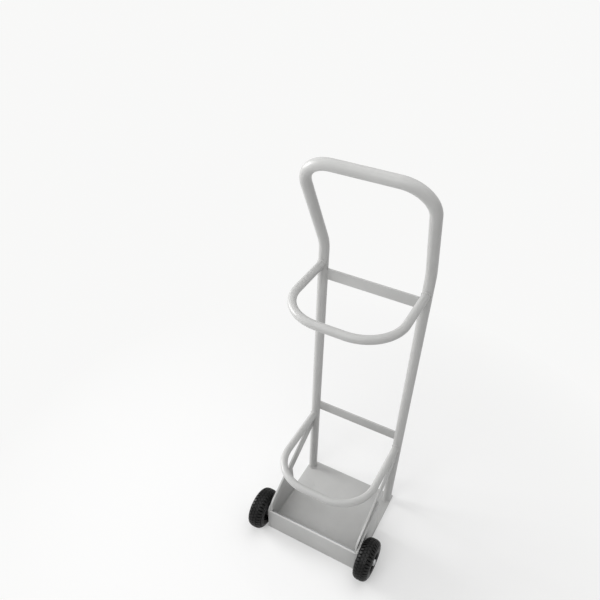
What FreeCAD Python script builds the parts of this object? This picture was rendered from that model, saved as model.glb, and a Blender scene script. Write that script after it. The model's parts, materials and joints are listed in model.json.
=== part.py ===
import FreeCAD, Part
import math
import os

# A welded steel trolley for one tall gas cylinder, in millimetres.
# The origin is the middle of the base plate's underside, +Z is up,
# +X is the trolley's right and -Y is the side with the lip and the wheels.

# Base plate, front lip and side plates
base_width = 304.0
base_depth = 297.0
base_thickness = 5.0
lip_height = 86.0
lip_thickness = 5.0
side_plate_thickness = 6.0
side_plate_inset = 1.5
side_plate_foot_length = 160.0
side_plate_top_length = 138.0
side_plate_above_lip = 8.0
side_plate_nose_radius = 20.0

# Main frame: one round tube bent into two uprights and a handle
frame_tube_diameter = 26.9
frame_tube_wall = 2.3
upright_side_margin = 1.0
upright_back_margin = 7.8
knee_height = 888.5
knee_bend_radius = 84.0
handle_height = 1143.0
handle_reach = 121.5
handle_flare = 10.5
handle_corner_radius = 71.0

# Hoops round the cylinder, of a thinner tube
hoop_tube_diameter = 21.3
hoop_tube_wall = 2.0
upper_hoop_below_knee = 57.0
upper_hoop_reach = 238.0
upper_hoop_corner_radius = 103.0
lower_hoop_above_brace = 26.5
lower_hoop_reach = 274.5
lower_hoop_corner_radius = 103.0

# Flat bars between the uprights
cross_bar_width = 31.5
cross_bar_thickness = 5.0
upper_bar_below_hoop = 47.0
lower_bar_above_hoop = 23.0

# Slanting braces, flat bars lapped on the inside of the side plates
# The heights are those of the centre line at the front of the base and at the upright's middle
brace_width = 36.0
brace_thickness = 6.0
brace_height_at_upright = 251.0
brace_height_at_front = 98.5
brace_nose_radius = 28.0

# Axle and wheels
axle_diameter = 12.0
axle_hole_clearance = 0.1
axle_running_clearance = 0.05
axle_end_chamfer = 1.0
axle_end_past_nut = 1.7
wheel_diameter = 126.0
wheel_width = 47.0
wheel_floor_gap = 0.5
wheel_inner_gap = 2.0
wheel_side_play = 0.3
collar_diameter = 17.0
collar_length = 9.0
collar_lip_gap = 0.5
spacer_diameter = 26.0
washer_diameter = 24.0
washer_thickness = 2.0
nut_across_flats = 19.0
nut_height = 10.0

# Wheel sections
rim_diameter = 62.0
rim_width = 34.0
rim_wall = 4.0
web_thickness = 6.0
web_offset = 9.0
hub_diameter = 30.0
hub_length = 36.0
rib_count = 6
rib_thickness = 4.0
rib_height = 9.0
bush_diameter = 20.0
tread_flat_width = 18.0
shoulder_depth = 26.0
groove_width = 2.4
groove_depth = 2.2
groove_offset = 5.5

# Weld beads
tube_weld_leg = 4.5
hoop_weld_height = 2.2
plate_weld_leg = 6.0
weld_root = 0.2

# Places worked out from the sizes
front_y = -base_depth / 2
back_y = base_depth / 2
frame_radius = frame_tube_diameter / 2
hoop_radius = hoop_tube_diameter / 2
upright_x = base_width / 2 - upright_side_margin - frame_radius
upright_y = back_y - upright_back_margin - frame_radius
upper_hoop_height = knee_height - upper_hoop_below_knee
lower_hoop_height = brace_height_at_upright + lower_hoop_above_brace
upper_cross_bar_bottom = upper_hoop_height - upper_bar_below_hoop
lower_cross_bar_bottom = lower_hoop_height + lower_bar_above_hoop
plate_outer_x = base_width / 2 - side_plate_inset
plate_inner_x = plate_outer_x - side_plate_thickness
axle_y = front_y + lip_thickness + collar_lip_gap + collar_diameter / 2
axle_z = wheel_diameter / 2 + wheel_floor_gap
axle_radius = axle_diameter / 2
hub_start_x = plate_outer_x + wheel_inner_gap
hub_end_x = hub_start_x + hub_length
wheel_middle_x = hub_start_x + wheel_width / 2
washer_start_x = hub_end_x + wheel_side_play
nut_start_x = washer_start_x + washer_thickness
axle_end_x = nut_start_x + nut_height + axle_end_past_nut
brace_slope = (brace_height_at_upright - brace_height_at_front) / (upright_y - front_y)

right = 1
left = -1
axis_x = FreeCAD.Vector(1, 0, 0)
axis_y = FreeCAD.Vector(0, 1, 0)
axis_z = FreeCAD.Vector(0, 0, 1)


def box(low, high):
    low = FreeCAD.Vector(*low)
    size = FreeCAD.Vector(*high) - low
    return Part.makeBox(size.x, size.y, size.z, low)


def bent_path(points, radii):
    """A wire of straight runs through the points, with an arc at each inner point."""
    points = [FreeCAD.Vector(*point) for point in points]
    edges = []
    start = points[0]
    for before, corner, after, radius in zip(points, points[1:], points[2:], radii):
        back = (before - corner).normalize()
        onward = (after - corner).normalize()
        half_angle = back.getAngle(onward) / 2
        run_out = radius / math.tan(half_angle)
        middle_way = (back + onward).normalize()
        arc_start = corner + back * run_out
        arc_end = corner + onward * run_out
        arc_middle = corner + middle_way * (radius / math.sin(half_angle) - radius)
        edges.append(Part.LineSegment(start, arc_start).toShape())
        edges.append(Part.Arc(arc_start, arc_middle, arc_end).toShape())
        start = arc_end
    edges.append(Part.LineSegment(start, points[-1]).toShape())
    return Part.Wire(edges)


def rod_along(path, radius):
    first = path.Edges[0]
    start = first.valueAt(first.FirstParameter)
    direction = first.tangentAt(first.FirstParameter)
    section = Part.Wire([Part.makeCircle(radius, start, direction)])
    return path.makePipeShell([section], True, False)


def tube_along(path, diameter, wall):
    outside = rod_along(path, diameter / 2)
    return outside.cut(rod_along(path, diameter / 2 - wall))


def upright_rod(side):
    """The solid space that an upright takes up, used to fit what is welded to it."""
    foot = FreeCAD.Vector(side * upright_x, upright_y, base_thickness)
    return Part.makeCylinder(frame_radius, knee_height, foot, axis_z)


def cope(shape):
    """Cut the ends of a piece to the round of both uprights."""
    return shape.cut(upright_rod(left)).cut(upright_rod(right))


def turned(profile, side, x):
    """Revolve (radius, outward offset) points about the axle line at a distance x."""
    corners = [FreeCAD.Vector(side * (x + out), axle_y, axle_z + radius) for radius, out in profile]
    face = Part.Face(Part.makePolygon(corners + corners[:1]))
    return face.revolve(FreeCAD.Vector(0, axle_y, axle_z), axis_x, 360)


def ring(side, x, length, outer_radius, inner_radius):
    profile = [(inner_radius, 0), (outer_radius, 0), (outer_radius, length), (inner_radius, length)]
    return turned(profile, side, x)


def side_face(points, x):
    """A flat face in a plane across X, from (y, z) points."""
    corners = [FreeCAD.Vector(x, y, z) for y, z in points]
    return Part.Face(Part.makePolygon(corners + corners[:1]))


# Frame tube and hoops

def make_frame_tube():
    top_x = upright_x + handle_flare
    top_y = upright_y - handle_reach
    points = [
        (-upright_x, upright_y, base_thickness),
        (-upright_x, upright_y, knee_height),
        (-top_x, top_y, handle_height),
        (top_x, top_y, handle_height),
        (upright_x, upright_y, knee_height),
        (upright_x, upright_y, base_thickness),
    ]
    radii = [knee_bend_radius, handle_corner_radius, handle_corner_radius, knee_bend_radius]
    return tube_along(bent_path(points, radii), frame_tube_diameter, frame_tube_wall)


def make_hoop(height, reach, corner_radius):
    points = [
        (-upright_x, upright_y, height),
        (-upright_x, upright_y - reach, height),
        (upright_x, upright_y - reach, height),
        (upright_x, upright_y, height),
    ]
    path = bent_path(points, [corner_radius, corner_radius])
    return cope(tube_along(path, hoop_tube_diameter, hoop_tube_wall))


def make_cross_bar(bottom):
    low = (-upright_x, upright_y - cross_bar_thickness / 2, bottom)
    high = (upright_x, upright_y + cross_bar_thickness / 2, bottom + cross_bar_width)
    return cope(box(low, high))


# Base, lip, side plates and braces

def make_base_plate():
    half = base_width / 2
    return box((-half, front_y, 0), (half, back_y, base_thickness))


def make_front_lip():
    low = (-plate_inner_x, front_y, base_thickness)
    return box(low, (plate_inner_x, front_y + lip_thickness, lip_height))


def round_nose(sheet, y, z, radius):
    """Round the edge across X at the front top corner (y, z) of an upright sheet."""
    def is_nose(edge):
        middle = edge.CenterOfMass
        return abs(middle.y - y) < 1e-6 and abs(middle.z - z) < 1e-6
    return sheet.makeFillet(radius, [edge for edge in sheet.Edges if is_nose(edge)])


def make_side_plate(side):
    front_top = lip_height + side_plate_above_lip
    outline = [
        (front_y, base_thickness),
        (front_y, front_top),
        (front_y + side_plate_top_length, front_top + side_plate_top_length * brace_slope),
        (front_y + side_plate_foot_length, base_thickness),
    ]
    inner_x = plate_inner_x if side == right else -plate_outer_x
    plate = side_face(outline, inner_x).extrude(axis_x * side_plate_thickness)
    plate = round_nose(plate, front_y, front_top, side_plate_nose_radius)
    hole_start = FreeCAD.Vector(inner_x, axle_y, axle_z)
    hole_radius = axle_radius + axle_hole_clearance
    return plate.cut(Part.makeCylinder(hole_radius, side_plate_thickness, hole_start, axis_x))


def make_brace(side):
    """A flat bar on edge, from the back of the lip to the front of an upright."""
    half_height = brace_width / 2 * math.hypot(1, brace_slope)
    start_y = front_y + lip_thickness
    start_height = brace_height_at_front + lip_thickness * brace_slope
    outline = [
        (start_y, start_height - half_height),
        (start_y, start_height + half_height),
        (upright_y, brace_height_at_upright + half_height),
        (upright_y, brace_height_at_upright - half_height),
    ]
    inner_x = plate_inner_x - brace_thickness if side == right else -plate_inner_x
    bar = side_face(outline, inner_x).extrude(axis_x * brace_thickness)
    bar = round_nose(bar, start_y, start_height + half_height, brace_nose_radius)
    return bar.cut(upright_rod(side))


# Axle and what holds the wheels on it

def make_axle():
    start = FreeCAD.Vector(-axle_end_x, axle_y, axle_z)
    rod = Part.makeCylinder(axle_radius, 2 * axle_end_x, start, axis_x)
    ends = [edge for edge in rod.Edges if abs(abs(edge.CenterOfMass.x) - axle_end_x) < 1e-6]
    return rod.makeChamfer(axle_end_chamfer, ends)


def make_collar(side):
    bore = axle_radius + axle_running_clearance
    return ring(side, plate_inner_x - collar_length, collar_length, collar_diameter / 2, bore)


def make_spacer(side):
    bore = axle_radius + axle_running_clearance
    return ring(side, plate_outer_x, wheel_inner_gap - wheel_side_play, spacer_diameter / 2, bore)


def make_washer(side):
    bore = axle_radius + axle_running_clearance
    return ring(side, washer_start_x, washer_thickness, washer_diameter / 2, bore)


def make_nut(side):
    corner_radius = nut_across_flats / 2 / math.cos(math.pi / 6)
    corners = []
    for step in range(6):
        angle = step * math.pi / 3
        y = axle_y + corner_radius * math.cos(angle)
        z = axle_z + corner_radius * math.sin(angle)
        corners.append((y, z))
    prism = side_face(corners, side * nut_start_x).extrude(axis_x * (side * nut_height))
    bore_start = FreeCAD.Vector(side * nut_start_x, axle_y, axle_z)
    bore_radius = axle_radius + axle_running_clearance
    return prism.cut(Part.makeCylinder(bore_radius, nut_height, bore_start, axis_x * side))


# Wheels

def make_bush(side):
    bore = axle_radius + axle_running_clearance
    return ring(side, hub_start_x, hub_length, bush_diameter / 2, bore)


def make_rim(side):
    hub = hub_diameter / 2
    bore = bush_diameter / 2
    rim = rim_diameter / 2
    rim_inside = rim - rim_wall
    half_rim = rim_width / 2
    hub_in = hub_start_x - wheel_middle_x
    hub_out = hub_end_x - wheel_middle_x
    web_in = -web_offset
    web_out = web_thickness - web_offset
    profile = [
        (bore, hub_in), (hub, hub_in), (hub, web_in), (rim_inside, web_in),
        (rim_inside, -half_rim), (rim, -half_rim), (rim, half_rim), (rim_inside, half_rim),
        (rim_inside, web_out), (hub, web_out), (hub, hub_out), (bore, hub_out),
    ]
    wheel_centre = turned(profile, side, wheel_middle_x)
    rib_x = sorted([side * (wheel_middle_x + web_out), side * (wheel_middle_x + web_out + rib_height)])
    low = (rib_x[0], axle_y - rib_thickness / 2, axle_z + (bore + hub) / 2)
    high = (rib_x[1], axle_y + rib_thickness / 2, axle_z + (rim_inside + rim) / 2)
    for step in range(rib_count):
        rib = box(low, high)
        rib.rotate(FreeCAD.Vector(0, axle_y, axle_z), axis_x, step * 360 / rib_count)
        wheel_centre = wheel_centre.fuse(rib)
    return wheel_centre.removeSplitter()


def make_tyre(side):
    """A closed section of straight edges and wall arcs, turned about the axle line."""
    outer = wheel_diameter / 2
    inner = rim_diameter / 2
    half_width = wheel_width / 2
    half_tread = tread_flat_width / 2
    half_seat = rim_width / 2
    widest = outer - shoulder_depth

    def at(radius, out):
        return FreeCAD.Vector(side * (wheel_middle_x + out), axle_y, axle_z + radius)

    def straight(*points):
        ends = [at(*point) for point in points]
        return [Part.LineSegment(a, b).toShape() for a, b in zip(ends, ends[1:])]

    def wall(way, radius, out):
        """An arc that leaves the widest part of the tyre upright and ends at a radius and offset."""
        rise = radius - widest
        run = half_width - out
        bend = (run ** 2 + rise ** 2) / (2 * run)
        half_turn = math.asin(rise / bend) / 2
        middle = (widest + bend * math.sin(half_turn), half_width - bend * (1 - math.cos(half_turn)))
        stops = [(widest, half_width), middle, (radius, out)]
        return Part.Arc(*[at(r, way * o) for r, o in stops]).toShape()

    def groove(way):
        far = way * (groove_offset + groove_width / 2)
        near = way * (groove_offset - groove_width / 2)
        bottom = outer - groove_depth
        return [(outer, far), (bottom, far), (bottom, near), (outer, near)]

    tread = [(outer, half_tread)] + groove(1) + groove(-1)[::-1] + [(outer, -half_tread)]
    edges = straight(*tread) + straight((inner, half_seat), (inner, -half_seat))
    for way in (1, -1):
        edges += [wall(way, outer, half_tread), wall(way, inner, half_seat)]
    section = Part.Face(Part.Wire(Part.sortEdges(edges)[0]))
    return section.revolve(FreeCAD.Vector(0, axle_y, axle_z), axis_x, 360)


# Weld beads

def make_foot_welds():
    on_plate = box((-base_width / 2, front_y, 0), (base_width / 2, back_y, knee_height))
    beads = []
    for side in (left, right):
        foot = FreeCAD.Vector(side * upright_x, upright_y, base_thickness)
        bottom = frame_radius + tube_weld_leg
        top = frame_radius + weld_root
        cone = Part.makeCone(bottom, top, tube_weld_leg, foot, axis_z)
        beads.append(cone.cut(upright_rod(side)).common(on_plate))
    return Part.makeCompound(beads)


def make_hoop_welds():
    """Low collars that follow the saddle where a hoop's leg meets an upright."""
    reach = frame_radius + tube_weld_leg
    collar_radius = hoop_radius + hoop_weld_height
    beads = []
    for height in (lower_hoop_height, upper_hoop_height):
        for side in (left, right):
            start = FreeCAD.Vector(side * upright_x, upright_y, height)
            sleeve = Part.makeCylinder(collar_radius, 2 * reach, start, -axis_y)
            leg = Part.makeCylinder(hoop_radius, 2 * reach, start, -axis_y)
            column_foot = start - axis_z * (2 * collar_radius)
            column = Part.makeCylinder(reach, 4 * collar_radius, column_foot, axis_z)
            beads.append(sleeve.common(column).cut(upright_rod(side)).cut(leg))
    return Part.makeCompound(beads)


def make_plate_welds():
    """Fillet beads where the side plates and the lip stand on the base plate."""
    lip_inside = front_y + lip_thickness
    leg = plate_weld_leg
    floor = base_thickness
    beads = []
    for side in (left, right):
        corners = [(plate_inner_x, floor), (plate_inner_x - leg, floor), (plate_inner_x, floor + leg)]
        section = Part.Face(Part.makePolygon(
            [FreeCAD.Vector(side * x, lip_inside, z) for x, z in corners + corners[:1]]))
        run = side_plate_foot_length - lip_thickness - leg
        beads.append(section.extrude(axis_y * run))
    half_run = plate_inner_x - leg
    corners = [(lip_inside, floor), (lip_inside + leg, floor), (lip_inside, floor + leg)]
    beads.append(side_face(corners, -half_run).extrude(axis_x * (2 * half_run)))
    return Part.makeCompound(beads)


def make_all():
    nodes = {
        "frame_tube": make_frame_tube(),
        "upper_hoop": make_hoop(upper_hoop_height, upper_hoop_reach, upper_hoop_corner_radius),
        "lower_hoop": make_hoop(lower_hoop_height, lower_hoop_reach, lower_hoop_corner_radius),
        "upper_cross_bar": make_cross_bar(upper_cross_bar_bottom),
        "lower_cross_bar": make_cross_bar(lower_cross_bar_bottom),
        "base_plate": make_base_plate(),
        "front_lip": make_front_lip(),
        "axle": make_axle(),
        "foot_welds": make_foot_welds(),
        "hoop_welds": make_hoop_welds(),
        "plate_welds": make_plate_welds(),
    }
    for name, side in (("left", left), ("right", right)):
        nodes[name + "_side_plate"] = make_side_plate(side)
        nodes[name + "_brace"] = make_brace(side)
        nodes[name + "_axle_collar"] = make_collar(side)
        nodes[name + "_wheel_spacer"] = make_spacer(side)
        nodes[name + "_bush"] = make_bush(side)
        nodes[name + "_rim"] = make_rim(side)
        nodes[name + "_tyre"] = make_tyre(side)
        nodes[name + "_wheel_washer"] = make_washer(side)
        nodes[name + "_hub_nut"] = make_nut(side)
    return nodes


os.makedirs("parts", exist_ok=True)
for node, shape in make_all().items():
    volume = sum(solid.Volume for solid in shape.Solids)
    state = "valid" if shape.isValid() else "not valid"
    print(node, len(shape.Solids), "solids", round(volume), "mm3", state)
    shape.exportStep("parts/" + node + ".step")
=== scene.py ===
# %% [markdown]
# # A gas cylinder trolley
# The trolley is a welded steel frame of bent tube, a flat base with a raised lip, two slanting
# braces and two small rubber-tyred wheels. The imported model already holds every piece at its
# real size and place. This lesson gives the pieces their finishes, and makes again those whose
# small shapes a plain solid can't hold: tread, rounded sheet edges and rippled weld beads.

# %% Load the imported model
import json
import math

import bmesh
import bpy
from mathutils import Matrix, Vector


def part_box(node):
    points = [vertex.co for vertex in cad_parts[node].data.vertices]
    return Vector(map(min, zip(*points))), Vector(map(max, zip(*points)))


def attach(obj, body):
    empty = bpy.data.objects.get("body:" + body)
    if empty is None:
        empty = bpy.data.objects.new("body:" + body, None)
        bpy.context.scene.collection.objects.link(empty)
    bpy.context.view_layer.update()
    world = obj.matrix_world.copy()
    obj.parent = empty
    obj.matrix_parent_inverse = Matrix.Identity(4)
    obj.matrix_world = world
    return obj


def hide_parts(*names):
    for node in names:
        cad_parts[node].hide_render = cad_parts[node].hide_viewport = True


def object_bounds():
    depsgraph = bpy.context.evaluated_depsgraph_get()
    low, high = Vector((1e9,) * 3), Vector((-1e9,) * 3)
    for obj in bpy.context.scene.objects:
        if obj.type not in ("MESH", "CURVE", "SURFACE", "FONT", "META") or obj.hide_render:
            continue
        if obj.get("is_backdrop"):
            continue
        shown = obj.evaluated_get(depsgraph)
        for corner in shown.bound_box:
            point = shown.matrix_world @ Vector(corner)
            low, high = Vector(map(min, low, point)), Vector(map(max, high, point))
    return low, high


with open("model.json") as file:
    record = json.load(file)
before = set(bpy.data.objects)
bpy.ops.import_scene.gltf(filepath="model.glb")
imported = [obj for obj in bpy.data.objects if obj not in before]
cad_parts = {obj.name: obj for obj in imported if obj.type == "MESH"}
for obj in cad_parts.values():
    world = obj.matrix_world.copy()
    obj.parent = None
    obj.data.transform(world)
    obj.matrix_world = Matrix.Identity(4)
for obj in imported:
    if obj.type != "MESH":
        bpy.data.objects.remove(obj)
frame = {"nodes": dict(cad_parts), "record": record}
cad_low, cad_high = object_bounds()
nodes = frame["nodes"]
mm = 0.001
print("loaded", len(nodes), "nodes, size", [round(v, 3) for v in cad_high - cad_low])

# %% [markdown]
# ## Shared surface effects
# Real surfaces are never one even colour. Three effects come back in several finishes: a soft
# mottling of the colour, a fine grain that catches the light, and light rub marks. They could be
# painted as pictures, but a picture needs an unwrapped surface and blurs close up. Here each is
# made of noise, once, as a shader node group with named sockets, and every finish uses it with
# its own values. The groups read Object coordinates, so a pattern keeps its real scale and stays
# on its piece.

# %% Helpers for groups and nodes
number_socket = "NodeSocketFloat"
colour_socket = "NodeSocketColor"
vector_socket = "NodeSocketVector"


def new_group(name, inputs, outputs):
    """An empty group with (name, socket type, default) inputs and (name, socket type) outputs."""
    group = bpy.data.node_groups.new(name, "ShaderNodeTree")
    for label, kind, default in inputs:
        socket = group.interface.new_socket(label, in_out="INPUT", socket_type=kind)
        if default is not None:
            socket.default_value = default
    for label, kind in outputs:
        group.interface.new_socket(label, in_out="OUTPUT", socket_type=kind)
    start = group.nodes.new("NodeGroupInput")
    end = group.nodes.new("NodeGroupOutput")
    return group, start.outputs, end.inputs


def fill_inputs(tree, node, values):
    """Give a node's inputs, by name or number, a plain value or a socket to read."""
    for label, value in values.items():
        if isinstance(value, bpy.types.NodeSocket):
            tree.links.new(value, node.inputs[label])
        else:
            node.inputs[label].default_value = value


def add_node(tree, kind, values=None, **settings):
    """Add a node, set its properties and fill its inputs."""
    node = tree.nodes.new(kind)
    for key, value in settings.items():
        setattr(node, key, value)
    fill_inputs(tree, node, values or {})
    return node


print("nodes and their sockets as in Blender", bpy.app.version_string)

# %% Soft mottling
first_colour = 6
second_colour = 7
mixed_colour = 2


def noise(tree, place, scale, detail, roughness=0.5, distortion=0.0):
    """Smooth random values over the surface, mostly between 0.3 and 0.7."""
    values = {"Vector": place, "Scale": scale, "Detail": detail, "Roughness": roughness,
              "Distortion": distortion}
    return add_node(tree, "ShaderNodeTexNoise", values).outputs["Fac"]


def ramp(tree, value, low, high, to_low=0.0, to_high=1.0):
    """Stretch the values between low and high over a new range, and hold them at its ends."""
    values = {"Value": value, "From Min": low, "From Max": high, "To Min": to_low, "To Max": to_high}
    return add_node(tree, "ShaderNodeMapRange", values).outputs["Result"]


def mix_colours(tree, mask, first, second):
    """The first colour where the mask is 0, and the second where it is 1."""
    values = {"Factor": mask, first_colour: first, second_colour: second}
    return add_node(tree, "ShaderNodeMix", values, data_type="RGBA").outputs[mixed_colour]


mottling, given, result = new_group(
    "soft mottling",
    [("Vector", vector_socket, None), ("Dark", colour_socket, (0.4, 0.4, 0.4, 1)),
     ("Light", colour_socket, (0.6, 0.6, 0.6, 1)), ("Scale", number_socket, 12.0)],
    [("Color", colour_socket)])
clouds = noise(mottling, given["Vector"], given["Scale"], detail=4.0, roughness=0.6)
mottled = mix_colours(mottling, ramp(mottling, clouds, 0.3, 0.7), given["Dark"], given["Light"])
mottling.links.new(mottled, result["Color"])
print("group", mottling.name, "of", len(mottling.nodes), "nodes")

# %% Fine grain
sheen_scale = 35.0
grain, given, result = new_group(
    "fine grain",
    [("Vector", vector_socket, None), ("Scale", number_socket, 600.0),
     ("Roughness Low", number_socket, 0.4), ("Roughness High", number_socket, 0.5)],
    [("Height", number_socket), ("Roughness", number_socket)])
dimples = noise(grain, given["Vector"], given["Scale"], detail=2.0, roughness=0.45)
sheen = noise(grain, given["Vector"], sheen_scale, detail=3.0)
gloss = ramp(grain, sheen, 0.3, 0.7, given["Roughness Low"], given["Roughness High"])
grain.links.new(dimples, result["Height"])
grain.links.new(gloss, result["Roughness"])
print("group", grain.name, "of", len(grain.nodes), "nodes")

# %% Rub marks
patch_scale = 7.0


def combine(tree, operation, first, second):
    """One number from two, such as their product."""
    return add_node(tree, "ShaderNodeMath", {0: first, 1: second}, operation=operation).outputs["Value"]


rubs, given, result = new_group(
    "rub marks",
    [("Vector", vector_socket, None), ("Scale", number_socket, 30.0), ("Amount", number_socket, 0.1)],
    [("Mask", number_socket)])
streaks = noise(rubs, given["Vector"], given["Scale"], detail=8.0, roughness=0.75, distortion=1.5)
patches = noise(rubs, given["Vector"], patch_scale, detail=2.0)
fine = ramp(rubs, streaks, 0.56, 0.68)
broad = ramp(rubs, patches, 0.5, 0.72)
patchy_streaks = combine(rubs, "MULTIPLY", fine, broad)
rubs.links.new(combine(rubs, "MULTIPLY", patchy_streaks, given["Amount"]), result["Mask"])
print("group", rubs.name, "of", len(rubs.nodes), "nodes")

# %% [markdown]
# ## Finishes
# The steel has a satin light grey powder coat, which is sprayed on as dust, baked, and sets with a
# slight orange peel. The base plate has the same paint, duller and rubbed by the cylinders that
# stand there. The tyres are black rubber with a few pale scuffs, the wheel centres moulded plastic,
# and the axle and its fittings dull zinc plate. Each could have a node tree of its own, but all
# follow one pattern, so one maker builds them all: mottled colour, grain for the bump and the
# roughness, and rub marks that mix in a second colour.

# %% One maker for all finishes, and the paint
def make_finish(name, dark, light, rubbed, mottle_scale, grain_scale, grain_depth, roughness,
                rub_scale, rub_amount, metallic=0.0, specular=0.5):
    """A material of the three shared effects, with lengths in metres and scales per metre."""
    finish = bpy.data.materials.new(name)
    finish.use_nodes = True
    tree = finish.node_tree
    place = add_node(tree, "ShaderNodeTexCoord").outputs["Object"]
    tone_values = {"Vector": place, "Dark": (*dark, 1), "Light": (*light, 1), "Scale": mottle_scale}
    tone = add_node(tree, "ShaderNodeGroup", tone_values, node_tree=mottling)
    mark_values = {"Vector": place, "Scale": rub_scale, "Amount": rub_amount}
    marks = add_node(tree, "ShaderNodeGroup", mark_values, node_tree=rubs)
    skin_values = {"Vector": place, "Scale": grain_scale, "Roughness Low": roughness[0],
                   "Roughness High": roughness[1]}
    skin = add_node(tree, "ShaderNodeGroup", skin_values, node_tree=grain)
    bump = add_node(tree, "ShaderNodeBump",
                    {"Height": skin.outputs["Height"], "Distance": grain_depth, "Strength": 1.0})
    fill_inputs(tree, tree.nodes["Principled BSDF"], {
        "Base Color": mix_colours(tree, marks.outputs["Mask"], tone.outputs["Color"], (*rubbed, 1)),
        "Roughness": skin.outputs["Roughness"], "Normal": bump.outputs["Normal"],
        "Metallic": metallic, "Specular IOR Level": specular})
    return finish


def grey(value, warm=0.985):
    """A nearly neutral grey, a little weaker in blue."""
    return (value, value, value * warm)


grey_paint = make_finish(
    "grey powder coat", dark=grey(0.45), light=grey(0.50), rubbed=grey(0.37), mottle_scale=9.0,
    grain_scale=520.0, grain_depth=0.06 * mm, roughness=(0.30, 0.40), rub_scale=45.0, rub_amount=0.25,
    specular=0.38)
print("finish", grey_paint.name, "of", len(grey_paint.node_tree.nodes), "nodes")

# %% The other finishes
base_paint = make_finish(
    "rubbed grey powder coat", dark=grey(0.46), light=grey(0.52), rubbed=grey(0.37), mottle_scale=6.0,
    grain_scale=520.0, grain_depth=0.06 * mm, roughness=(0.42, 0.55), rub_scale=38.0, rub_amount=0.55,
    specular=0.38)
rubber = make_finish(
    "tyre rubber", dark=grey(0.004), light=grey(0.009), rubbed=grey(0.05), mottle_scale=30.0,
    grain_scale=900.0, grain_depth=0.06 * mm, roughness=(0.38, 0.50), rub_scale=60.0, rub_amount=0.5,
    specular=0.20)
wheel_plastic = make_finish(
    "black wheel plastic", dark=grey(0.010), light=grey(0.016), rubbed=grey(0.04), mottle_scale=25.0,
    grain_scale=1200.0, grain_depth=0.04 * mm, roughness=(0.42, 0.55), rub_scale=55.0, rub_amount=0.4)
zinc = make_finish(
    "zinc plate", dark=(0.34, 0.345, 0.35), light=(0.42, 0.425, 0.43), rubbed=(0.28, 0.28, 0.28),
    mottle_scale=70.0, grain_scale=1500.0, grain_depth=0.03 * mm, roughness=(0.34, 0.48), rub_scale=90.0,
    rub_amount=0.3, metallic=1.0)
nylon = make_finish(
    "natural nylon", dark=(0.66, 0.65, 0.60), light=(0.72, 0.71, 0.67), rubbed=(0.5, 0.49, 0.45),
    mottle_scale=40.0, grain_scale=900.0, grain_depth=0.03 * mm, roughness=(0.45, 0.55), rub_scale=80.0,
    rub_amount=0.2)
print("finishes", [finish.name for finish in (base_paint, rubber, wheel_plastic, zinc, nylon)])

# %% [markdown]
# ## The lip's painted highlight
# A light line runs along the top edge of the lip, a highlight where its rounded edge catches the light.
# Here that highlight is painted, as a lighter grey in the paint. In the photograph a light line runs
# along the top edge of the lip. Why it is lighter can't be seen. The faces of the edge could have a
# material of their own, but that would end at a hard border. So the lip has a copy of the paint that
# mixes in the lighter grey by height, over a blend of 1 mm.

# %% Paint a highlight on the lip's edge
lip_easing = 1.6 * mm
lip_blend = 1.0 * mm
painted_highlight_grey = grey(0.66)


def paint_highlight_above(finish, height, blend, light):
    """Paint a highlight: mix a lighter colour into a finish above a height, over a short blend."""
    tree = finish.node_tree
    base_colour = tree.nodes["Principled BSDF"].inputs["Base Color"]
    painted = base_colour.links[0].from_socket
    place = add_node(tree, "ShaderNodeTexCoord").outputs["Object"]
    up = add_node(tree, "ShaderNodeSeparateXYZ", {"Vector": place}).outputs["Z"]
    # The mask is 1 on the lip's top edge, where the lighter grey is a painted highlight.
    edge = ramp(tree, up, height, height + blend)
    tree.links.new(mix_colours(tree, edge, painted, (*light, 1)), base_colour)


# The lip's paint is a copy of the grey paint with a painted highlight along its top edge.
lip_paint_with_painted_highlight = grey_paint.copy()
lip_paint_with_painted_highlight.name = "grey powder coat with a painted highlight on its edge"
lip_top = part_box("front_lip")[1].z
paint_highlight_above(lip_paint_with_painted_highlight, lip_top - lip_easing, lip_blend, painted_highlight_grey)
print("lip is bright from", round((lip_top - lip_easing) / mm, 1), "mm up")

# %% [markdown]
# ## Dressing the nodes
# Every piece of the trolley is of one material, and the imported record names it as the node's slot.
# The finishes could be given out one by one, but a table from slot to finish dresses all the nodes
# in one loop, and no node is missed.

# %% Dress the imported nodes
finish_of_slot = {"grey_paint": grey_paint, "black_rubber": rubber, "black_plastic": wheel_plastic,
                  "zinc_steel": zinc, "bush_plastic": nylon}
slot_of_node = {part["node"]: part["material_slot"] for part in frame["record"]["subparts"]}


def dress(piece, finish):
    """Give a piece one finish, in place of any it has."""
    piece.data.materials.clear()
    piece.data.materials.append(finish)


for name, node in nodes.items():
    dress(node, finish_of_slot[slot_of_node[name]])
print("dressed", len(nodes), "nodes in", len(finish_of_slot), "finishes")

# %% [markdown]
# ## Putting a new piece in place of a node
# A node that needs finer detail could be changed where it is, but the imported objects are the measure
# for everything else, so their shapes stay as they are. Each piece below is a new bmesh that becomes
# one object at the origin. It rides on the body of the node that it stands for, takes the finish it
# is given, and is shaded smooth with its sharp edges kept.

# %% A helper that finishes a piece
smooth_limit = math.radians(32)
body_of_node = {}
for body, members in frame["record"]["behaviour"]["bodies"].items():
    for member in members:
        body_of_node[member] = body


def finish_piece(bm, name, node_name, finish):
    """Turn a bmesh into a finished piece that stands for a node."""
    bmesh.ops.recalc_face_normals(bm, faces=bm.faces)
    mesh = bpy.data.meshes.new(name)
    bm.to_mesh(mesh)
    bm.free()
    mesh.shade_smooth()
    mesh.set_sharp_from_angle(angle=smooth_limit)
    piece = bpy.data.objects.new(name, mesh)
    bpy.context.scene.collection.objects.link(piece)
    dress(piece, finish)
    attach(piece, body_of_node[node_name])
    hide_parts(node_name)
    print(name, len(mesh.polygons), "faces")
    return piece


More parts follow.
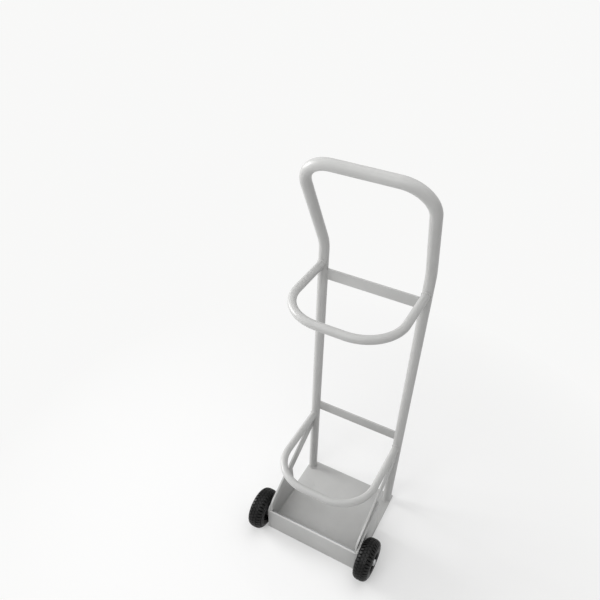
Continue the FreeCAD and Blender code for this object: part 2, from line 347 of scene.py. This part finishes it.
# %% [markdown]
# ## Sheet and bar with eased edges
# The base, lip, side plates, braces and cross bars are cut from flat steel. Cut steel is never
# knife sharp, and paint rounds its edges further, so each edge shows a thin line of light. The
# shapes could be drawn again as boxes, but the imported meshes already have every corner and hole.
# So a copy of each is merged into real faces, and its sharp edges are bevelled. The wheel centres,
# nuts and washers get the same, with smaller radii.

# %% Ease the edges
sharp_angle = math.radians(40)
flat_angle = math.radians(1)
weld_distance = 1e-6
edge_segments = 3


def eased_copy(node_name, radius, finish):
    """A copy of a node with its sharp edges rounded to a radius."""
    bm = bmesh.new()
    bm.from_mesh(nodes[node_name].data)
    bmesh.ops.remove_doubles(bm, verts=bm.verts, dist=weld_distance)
    bmesh.ops.dissolve_limit(bm, angle_limit=flat_angle, verts=bm.verts, edges=bm.edges)
    sharp = [e for e in bm.edges if len(e.link_faces) == 2 and e.calc_face_angle() > sharp_angle]
    bmesh.ops.bevel(bm, geom=sharp, offset=radius, offset_type="OFFSET", segments=edge_segments,
                    profile=0.5, affect="EDGES", clamp_overlap=True, material=-1)
    finish_piece(bm, node_name + "_eased", node_name, finish)


eased_copy("base_plate", 1.4 * mm, base_paint)
# The lip takes the paint with a painted highlight on its top edge.
eased_copy("front_lip", lip_easing, lip_paint_with_painted_highlight)
wheel_side = [("_side_plate", 1.6 * mm, grey_paint), ("_brace", 1.6 * mm, grey_paint),
              ("_rim", 0.8 * mm, wheel_plastic), ("_hub_nut", 0.7 * mm, zinc),
              ("_wheel_washer", 0.4 * mm, zinc)]
for side in ("left", "right"):
    for ending, radius, finish in wheel_side:
        eased_copy(side + ending, radius, finish)
for level in ("upper", "lower"):
    eased_copy(level + "_cross_bar", 1.2 * mm, grey_paint)

# %% [markdown]
# ## Tyres
# The tyre is a small solid rubber one with full shoulders and a knobbly tread that wraps over them.
# The tread could be a bump in the material, but its blocks show in the outline, so they are shaped.
# The tyre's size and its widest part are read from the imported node. Below the widest part the wall
# is an arc down to the rim, and above it a full curve up to the crown. The section is spun round
# the axle with its tread a groove's depth low, and the blocks are then raised to the full curve.

# %% Read the tyre's size from its node
near = 0.01 * mm


def tyre_sizes(side):
    """A tyre's middle, its radii at the crown, the widest part and the rim, and its half widths."""
    low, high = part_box(side + "_tyre")
    rim_low, rim_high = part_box(side + "_rim")
    centre = (low + high) / 2
    half_width = (high.x - low.x) / 2
    tyre = nodes[side + "_tyre"]
    spots = [tyre.matrix_world @ v.co - centre for v in tyre.data.vertices]
    widest = max(p.yz.length for p in spots if abs(abs(p.x) - half_width) < near)
    return {"centre": centre, "outer": (high.z - low.z) / 2, "widest": widest,
            "inner": (rim_high.z - rim_low.z) / 2, "half_width": half_width,
            "half_seat": (rim_high.x - rim_low.x) / 2}


left_size = tyre_sizes("left")
print("tyre radius", round(left_size["outer"] / mm, 1), "mm")

# %% Draw the section, from the rim up the outer wall to the middle of the tread
tread_depth = 3.4 * mm
rib_lift = 0.5 * mm
fullness = 2.8
lower_shares = (1.0, 0.75, 0.5, 0.25, 0.0)
wall_stations = [(0.05, 0.0), (0.07, rib_lift), (0.12, rib_lift), (0.14, 0.0), (0.20, 0.0), (0.26, 0.0)]
floor_shares = (0.34, 0.42, 0.50, 0.58, 0.66, 0.73, 0.80, 0.86, 0.92, 0.99)


def lower_point(size, share):
    """A point a share of the way down the arc from the widest part to the rim."""
    drop = size["inner"] - size["widest"]
    run = size["half_width"] - size["half_seat"]
    bend = (run ** 2 + drop ** 2) / (2 * run)
    turn = math.asin(drop / bend) * share
    return size["half_width"] - bend + bend * math.cos(turn), size["widest"] + bend * math.sin(turn)


def upper_point(size, share, lift=0.0):
    """A point a share of the way from the widest part to the crown, lifted off the full curve."""
    turn = math.pi / 2 * share
    spot = Vector((size["half_width"] * math.cos(turn) ** (2 / fullness),
                   (size["outer"] - size["widest"]) * math.sin(turn) ** (2 / fullness)))
    spot *= 1 + lift / spot.length
    return spot.x, size["widest"] + spot.y


def half_section(size):
    """The outer half of the section, with a raised rib on the wall and the tread's floor on top."""
    points = [lower_point(size, share) for share in lower_shares]
    points += [upper_point(size, share, lift) for share, lift in wall_stations]
    return points + [upper_point(size, share, -tread_depth) for share in floor_shares]


print("half section of", len(half_section(left_size)), "points")

# %% Spin the section and pick out the blocks
tread_pitches = 36
steps_per_pitch = 3
tread_steps = tread_pitches * steps_per_pitch
block_rows = [(0.34, 0.80, 0), (0.86, 0.99, 1)]


def spin_section(size):
    """Spin the whole section once round the axle."""
    centre = size["centre"]
    outside = [Vector((out, 0, radius)) for out, radius in half_section(size)]
    inside = [Vector((-p.x, 0, p.z)) for p in reversed(outside)]
    bm = bmesh.new()
    ring = [bm.verts.new(centre + p) for p in outside + inside]
    chain = [bm.edges.new(pair) for pair in zip(ring, ring[1:] + ring[:1])]
    bmesh.ops.spin(bm, geom=ring + chain, cent=centre, axis=(1, 0, 0), angle=2 * math.pi,
                   steps=tread_steps, use_merge=True, use_duplicate=False)
    bmesh.ops.remove_doubles(bm, verts=bm.verts, dist=weld_distance)
    return bm


def block_faces(bm, size):
    """The faces between a row's edges, but for one step in each pitch, which stays a groove."""
    rows = [(upper_point(size, start, -tread_depth)[0], upper_point(size, end, -tread_depth)[0], stagger)
            for start, end, stagger in block_rows]
    faces = []
    for face in bm.faces:
        spot = face.calc_center_median() - size["centre"]
        step = round((math.atan2(spot.z, spot.y) / (2 * math.pi) % 1) * tread_steps - 0.5)
        side_stagger = 1 if spot.x > 0 else 0
        for outer_edge, inner_edge, stagger in rows:
            in_row = inner_edge < abs(spot.x) < outer_edge and spot.yz.length > size["widest"]
            if in_row and (step + stagger + side_stagger) % steps_per_pitch:
                faces.append(face)
    return faces


print("tread of", tread_pitches, "pitches in", 2 * len(block_rows), "rows")

# %% Raise and slant the blocks
chevron_twist = math.radians(6)
tread_easing = 0.3 * mm
tread_easing_segments = 2
tread_easing_angle = math.radians(50)


def raise_blocks(bm, size):
    """Push the blocks out from the tyre's core by the depth of the tread."""
    grown = bmesh.ops.extrude_face_region(bm, geom=block_faces(bm, size))["geom"]
    for vert in (item for item in grown if isinstance(item, bmesh.types.BMVert)):
        spot = vert.co - size["centre"]
        core = Vector((0, *spot.yz.normalized())) * size["widest"]
        vert.co += (spot - core).normalized() * tread_depth


def slant_blocks(bm, size):
    """Turn each point about the axle, more the higher and the further out it lies."""
    for vert in bm.verts:
        spot = vert.co - size["centre"]
        grip = max(0.0, (spot.yz.length - size["widest"]) / (size["outer"] - size["widest"]))
        twist = chevron_twist * grip * abs(spot.x) / size["half_width"]
        vert.co = size["centre"] + Matrix.Rotation(twist, 4, "X") @ spot


for side in ("left", "right"):
    size = tyre_sizes(side)
    bm = spin_section(size)
    raise_blocks(bm, size)
    slant_blocks(bm, size)
    tyre = finish_piece(bm, side + "_treaded_tyre", side + "_tyre", rubber)
    eased = tyre.modifiers.new("eased tread", "BEVEL")
    eased.width = tread_easing
    eased.segments = tread_easing_segments
    eased.limit_method = "ANGLE"
    eased.angle_limit = tread_easing_angle

# %% [markdown]
# ## Weld beads
# A weld bead is a row of small overlapping puddles of set metal along a joint. It could be a curve
# with a round bevel, but that would be as smooth as a wire. So each bead is a ring of edges that
# is extruded from place to place along the joint, swelling and shrinking as it goes.

# %% Extrude a rippled bead along a joint
ripple = (0.86, 1.0, 1.1, 1.0)
bead_sides = 8
bead_gap = 1.1 * mm


def bead_places(points, closed):
    """A matrix at each point, with its Z axis along the joint."""
    places = []
    for index, point in enumerate(points):
        before = points[index - 1] if closed or index else point
        after = points[(index + 1) % len(points)] if closed or index + 1 < len(points) else point
        turn = (after - before).to_track_quat("Z", "Y").to_matrix().to_4x4()
        places.append(Matrix.Translation(point) @ turn)
    return places


def add_bead(bm, points, radius, closed=False):
    """Extrude a ring along the points, and close the bead's ends or join them."""
    places = bead_places(points, closed)
    start = bmesh.ops.create_circle(bm, segments=bead_sides, radius=radius * ripple[0], matrix=places[0])
    first_edges = list({edge for vert in start["verts"] for edge in vert.link_edges})
    edges = first_edges
    for index, (before, place) in enumerate(zip(places, places[1:]), start=1):
        grown = bmesh.ops.extrude_edge_only(bm, edges=edges)["geom"]
        verts = [item for item in grown if isinstance(item, bmesh.types.BMVert)]
        new_edges = [item for item in grown if isinstance(item, bmesh.types.BMEdge)]
        edges = [edge for edge in new_edges if all(vert in verts for vert in edge.verts)]
        swell = ripple[index % len(ripple)] / ripple[(index - 1) % len(ripple)]
        move = place @ Matrix.Scale(swell, 4) @ before.inverted()
        bmesh.ops.transform(bm, matrix=move, verts=verts)
    if closed:
        bmesh.ops.bridge_loops(bm, edges=first_edges + edges)
    else:
        bmesh.ops.holes_fill(bm, edges=first_edges + edges)


def spaced(start, end):
    """Points along a straight joint, a quarter of a ripple apart."""
    count = max(2, round((end - start).length / bead_gap))
    return [start.lerp(end, step / count) for step in range(count + 1)]


print("a ripple is", round(len(ripple) * bead_gap / mm, 1), "mm long")

# %% Find the joints
weld_radius = 2.3 * mm
thin_weld_radius = 1.7 * mm
bead_offset = 0.5 * mm
tube_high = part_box("frame_tube")[1]
hoop_low, hoop_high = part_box("lower_hoop")
bar_low, bar_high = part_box("lower_cross_bar")
base_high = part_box("base_plate")[1]
plate_low, plate_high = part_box("right_side_plate")
lip_low, lip_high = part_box("front_lip")
hoop_radius = (hoop_high.z - hoop_low.z) / 2
upright_x = hoop_high.x - hoop_radius
upright_y = (bar_low.y + bar_high.y) / 2
frame_radius = tube_high.y - upright_y
print("uprights", round(2 * upright_x / mm, 1), "mm apart, of radius", round(frame_radius / mm, 2), "mm")

# %% Beads round the feet of the uprights
foot_offset = 0.6 * mm
foot_start = math.radians(42)
foot_sweep = math.radians(276)


def foot_bead(side):
    """Round an upright's foot, but for the stretch that would hang over the edge of the base."""
    middle = Vector((side * upright_x, upright_y, base_high.z + foot_offset))
    reach = frame_radius + foot_offset
    count = round(2 * math.pi * reach / bead_gap)
    points = []
    for step in range(count + 1):
        angle = foot_start + foot_sweep * step / count
        points.append(middle + Vector((side * math.cos(angle), math.sin(angle), 0)) * reach)
    return points


feet = bmesh.new()
for side in (-1, 1):
    add_bead(feet, foot_bead(side), weld_radius)
finish_piece(feet, "foot_weld_beads", "foot_welds", grey_paint)


# %% Beads at the hoops, the braces and the cross bars
def saddle_bead(side, hoop):
    """Round a hoop's leg where it meets the curve of an upright, in whole ripples."""
    low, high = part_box(hoop)
    height = (low.z + high.z) / 2
    reach = hoop_radius + bead_offset
    count = len(ripple) * round(2 * math.pi * reach / bead_gap / len(ripple))
    points = []
    for step in range(count):
        angle = 2 * math.pi * step / count
        across = reach * math.cos(angle)
        rise = reach * math.sin(angle)
        depth = math.sqrt((frame_radius + bead_offset) ** 2 - across ** 2)
        points.append(Vector((side * upright_x + across, upright_y - depth, height + rise)))
    return points


def brace_bead(side):
    """Up the front of an upright, along the inside face of the brace that runs into it."""
    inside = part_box("right_brace")[0].x
    brace = nodes["right_brace"]
    corners = [brace.matrix_world @ v.co for v in brace.data.vertices]
    face = [p for p in corners if p.x < inside + near]
    back = max(p.y for p in face)
    end_heights = [p.z for p in face if p.y > back - near]
    bottom = min(end_heights) + thin_weld_radius
    top = max(end_heights) - thin_weld_radius
    return spaced(Vector((side * inside, back, bottom)), Vector((side * inside, back, top)))


def bar_beads(side, bar):
    """Up an upright on both faces of a cross bar's end."""
    low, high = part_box(bar)
    bottom = low.z + thin_weld_radius
    top = high.z - thin_weld_radius
    for y in (low.y, high.y):
        x = side * (upright_x - math.sqrt(frame_radius ** 2 - (y - upright_y) ** 2))
        yield spaced(Vector((x, y, bottom)), Vector((x, y, top)))


saddles = bmesh.new()
for side in (-1, 1):
    for hoop in ("lower_hoop", "upper_hoop"):
        add_bead(saddles, saddle_bead(side, hoop), weld_radius, closed=True)
    add_bead(saddles, brace_bead(side), thin_weld_radius)
    for bar in ("lower_cross_bar", "upper_cross_bar"):
        for points in bar_beads(side, bar):
            add_bead(saddles, points, thin_weld_radius)
finish_piece(saddles, "hoop_weld_beads", "hoop_welds", grey_paint)

# %% Beads along the side plates and the lip
plate_front_gap = 4 * mm
plate_back_gap = 3 * mm
lip_end_gap = 8 * mm
bead_height = base_high.z + bead_offset
plate_front = lip_high.y + plate_front_gap
plate_back = plate_high.y - plate_back_gap
lip_inside = lip_high.y + bead_offset

plates = bmesh.new()
for side in (-1, 1):
    inside = side * (plate_low.x - bead_offset)
    joint = spaced(Vector((inside, plate_front, bead_height)), Vector((inside, plate_back, bead_height)))
    add_bead(plates, joint, weld_radius)
joint = spaced(Vector((lip_low.x + lip_end_gap, lip_inside, bead_height)),
               Vector((lip_high.x - lip_end_gap, lip_inside, bead_height)))
add_bead(plates, joint, weld_radius)
finish_piece(plates, "plate_weld_beads", "plate_welds", base_paint)

# %% [markdown]
# ## Studio
# The trolley stands on a plain pale floor in soft light. A low lamp on the left models the tubes,
# a broad one overhead and a little behind lights the base up to the lip, and a high one in front
# and the sky fill the rest. The floor could be made white by more light, but that would flood the
# trolley too. So the floor is partly its own white to the camera, more so further out, and the
# background stays pale while the trolley keeps a soft shadow.

# %% The floor's shape
floor_reach = 16.0
bm = bmesh.new()
bmesh.ops.create_grid(bm, x_segments=1, y_segments=1, size=floor_reach)
floor_mesh = bpy.data.meshes.new("floor")
bm.to_mesh(floor_mesh)
bm.free()
floor_piece = bpy.data.objects.new("floor", floor_mesh)
bpy.context.scene.collection.objects.link(floor_piece)
floor_piece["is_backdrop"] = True
print("floor", 2 * floor_reach, "m wide")

# %% The floor's finish
floor_white = 0.915
floor_glow = (0.94, 0.94, 0.935, 1)
floor_own_light = 0.25
fade_start = 0.3
fade_end = 1.2


def seen_directly(tree):
    """1 for what the camera sees straight, in a gloss or through glass, and 0 for light on a piece."""
    path = add_node(tree, "ShaderNodeLightPath").outputs
    straight = combine(tree, "MAXIMUM", path["Is Camera Ray"], path["Is Glossy Ray"])
    return combine(tree, "MAXIMUM", straight, path["Is Transmission Ray"])


pale_floor = bpy.data.materials.new("pale floor")
pale_floor.use_nodes = True
tree = pale_floor.node_tree
tree.nodes.remove(tree.nodes["Principled BSDF"])
matt = add_node(tree, "ShaderNodeBsdfDiffuse", {"Color": (floor_white, floor_white, floor_white, 1)})
glow = add_node(tree, "ShaderNodeEmission", {"Color": floor_glow, "Strength": 1.0})
place = add_node(tree, "ShaderNodeTexCoord").outputs["Object"]
distance = add_node(tree, "ShaderNodeVectorMath", {0: place}, operation="LENGTH").outputs["Value"]
further_out = ramp(tree, distance, fade_start, fade_end, floor_own_light, 1.0)
own_light = combine(tree, "MULTIPLY", seen_directly(tree), further_out)
surface = add_node(tree, "ShaderNodeMixShader",
                   {0: own_light, 1: matt.outputs["BSDF"], 2: glow.outputs["Emission"]})
tree.links.new(surface.outputs["Shader"], tree.nodes["Material Output"].inputs["Surface"])
floor_mesh.materials.append(pale_floor)
print("floor is all its own white from", fade_end, "m out")

# %% Sky
sky_white = (0.95, 0.95, 0.945, 1)
sky_fill = 0.31
world = bpy.data.worlds.new("studio")
bpy.context.scene.world = world
world.use_nodes = True
tree = world.node_tree
fill_inputs(tree, tree.nodes["Background"],
            {"Color": sky_white, "Strength": ramp(tree, seen_directly(tree), 0.0, 1.0, sky_fill, 1.0)})
print("sky lights the trolley at", sky_fill, "of what the camera sees")

# %% Lamps
lamp_target = Vector((0, 0, 0.55))
lamps = [("key lamp", (-4.4, -0.3, 1.35), 2.0, 168),
         ("top lamp", (0.1, 0.5, 3.5), 3.0, 44),
         ("front lamp", (-0.1, -2.0, 2.6), 2.0, 36)]


def add_lamp(name, place, size, power):
    """A square lamp that faces the middle of the trolley, with its size in metres and power in watts."""
    lamp = bpy.data.lights.new(name, "AREA")
    lamp.shape = "SQUARE"
    lamp.size = size
    lamp.energy = power
    holder = bpy.data.objects.new(name, lamp)
    holder.location = place
    holder.rotation_euler = (lamp_target - Vector(place)).to_track_quat("-Z", "Y").to_euler()
    bpy.context.scene.collection.objects.link(holder)
    print(name, size, "m,", power, "W")


for lamp in lamps:
    add_lamp(*lamp)

# %% [markdown]
# ## Camera
# The photograph looks down on the trolley from its front right. The camera could be placed by eye,
# but straight tube edges fix it better, so its place, turn and focal length were worked out from
# the tube's edges in the photograph, whose frame is 600 pixels square.

# %% Camera
frame_pixels = 600
focal_pixels = 571.6
middle_pixel = (303.5, 348.75)
sensor_width = 36
camera_place = (0.3926, -0.9855, 1.6116)
view_turn = math.radians(27.53)
view_drop = math.radians(41.06)
view_roll = math.radians(1.615)

backward = Vector((math.sin(view_turn) * math.cos(view_drop), -math.cos(view_turn) * math.cos(view_drop),
                   math.sin(view_drop)))
level_right = Vector((math.cos(view_turn), math.sin(view_turn), 0))
level_up = backward.cross(level_right)
right = level_right * math.cos(view_roll) + level_up * math.sin(view_roll)
up = level_up * math.cos(view_roll) - level_right * math.sin(view_roll)
lens = bpy.data.cameras.new("camera")
lens.sensor_width = sensor_width
lens.lens = sensor_width * focal_pixels / frame_pixels
lens.shift_x = (frame_pixels / 2 - middle_pixel[0]) / frame_pixels
lens.shift_y = (middle_pixel[1] - frame_pixels / 2) / frame_pixels
camera = bpy.data.objects.new("camera", lens)
camera_turn = Matrix((right, up, backward)).transposed().to_4x4()
camera.matrix_world = Matrix.Translation(camera_place) @ camera_turn
bpy.context.scene.collection.objects.link(camera)
bpy.context.scene.camera = camera
bpy.context.scene.view_settings.view_transform = "Standard"
print("lens", round(lens.lens, 1), "mm, shift", round(lens.shift_x, 4), round(lens.shift_y, 4))

# %% [markdown]
# ## The size
# The dressed trolley has to stay inside the box of the imported model. That could be judged by eye,
# but a bead or a block that stands out by a millimetre doesn't show, so the box's growth is printed.

# %% Sizes, and the last line
bpy.context.view_layer.update()
new_low, new_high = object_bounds()
growth = (new_high - new_low) - (cad_high - cad_low)
print("box grew by", [round(v / mm, 2) for v in growth], "mm")
